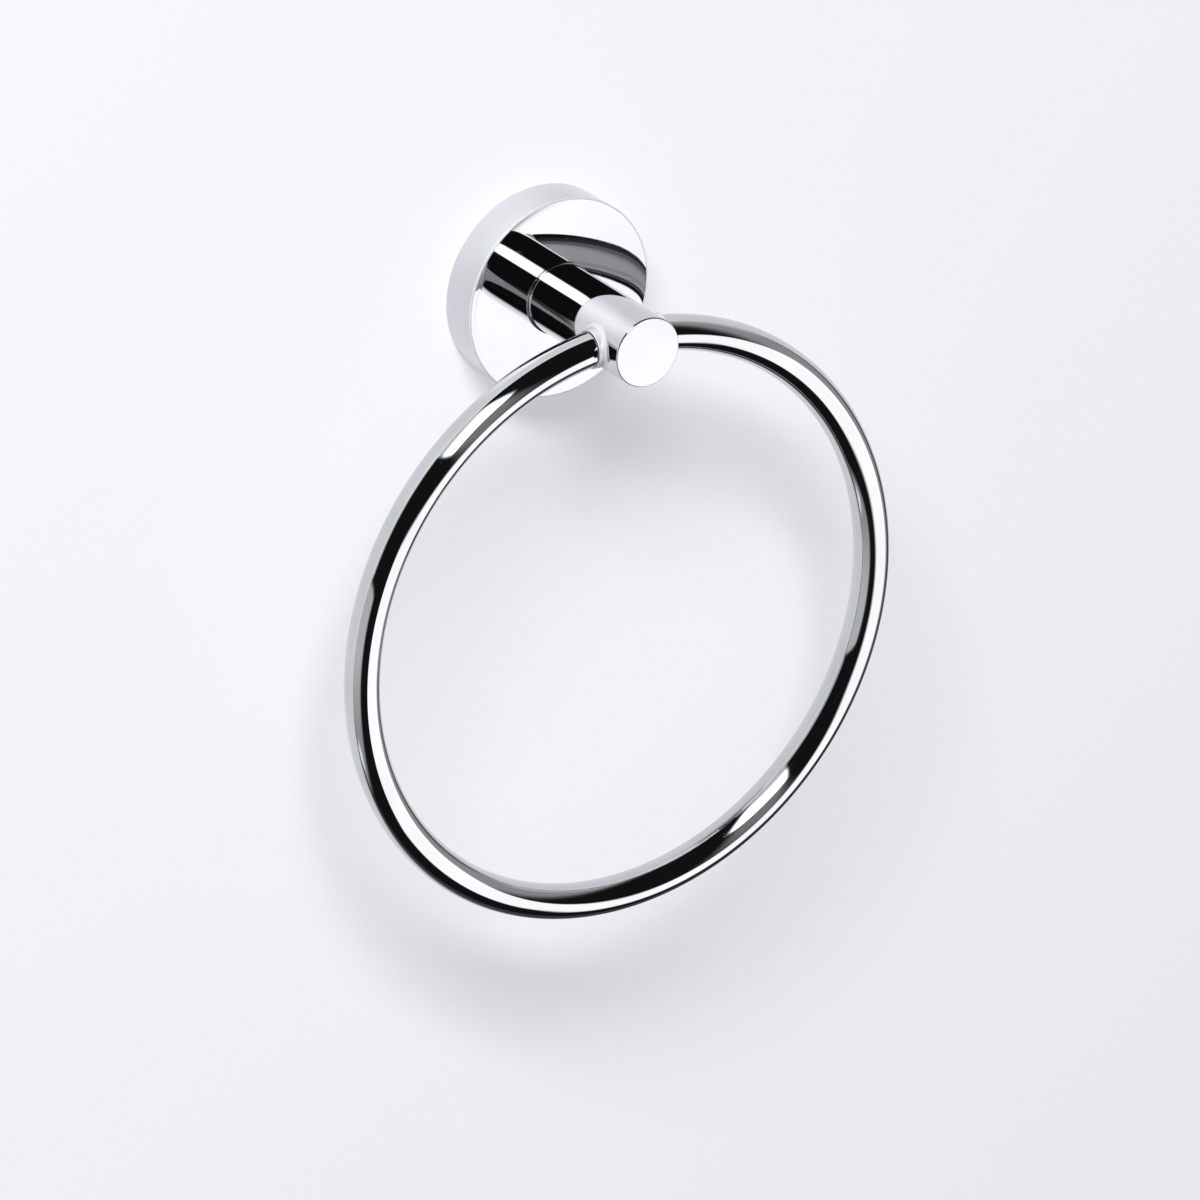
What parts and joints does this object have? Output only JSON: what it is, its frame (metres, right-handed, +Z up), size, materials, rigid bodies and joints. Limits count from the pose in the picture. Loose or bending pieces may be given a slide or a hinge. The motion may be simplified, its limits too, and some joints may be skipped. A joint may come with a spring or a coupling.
{
  "type": "towel ring",
  "caption": "Wall-mounted towel ring: a hollow round flange carries a cylindrical post, and a round-bar hoop hangs from bosses on the post and swings to take a towel.",
  "frame": {"origin": "centre of the flange's foot, in the plane of the wall", "axes": "+Y into the wall, so the part faces -Y; +Z up; +X to the right as seen from the front"},
  "size_m": [0.16, 0.0508, 0.1817],
  "materials": {
    "chrome": "mirror-polished chrome plate on brass",
    "bush_plastic": "natural white acetal, as turned",
    "fastener_steel": "zinc-plated steel",
    "plate_steel": "satin zinc-plated, as formed"
  },
  "bodies": {
    "bracket": {"flange": "chrome", "post": "chrome", "left_bush": "bush_plastic", "right_bush": "bush_plastic", "post_screw": "fastener_steel", "lock_washer": "fastener_steel", "wall_plate": "plate_steel", "grub_screw": "fastener_steel"},
    "hoop": {"ring": "chrome"}
  },
  "joints": [
    {"name": "ring_swing", "type": "hinge", "parent": "bracket", "child": "hoop", "pos_m": [0, -0.0405, -0.00067], "axis": [-1, 0, 0], "range_deg": [-13.5, 193.5]}
  ]
}
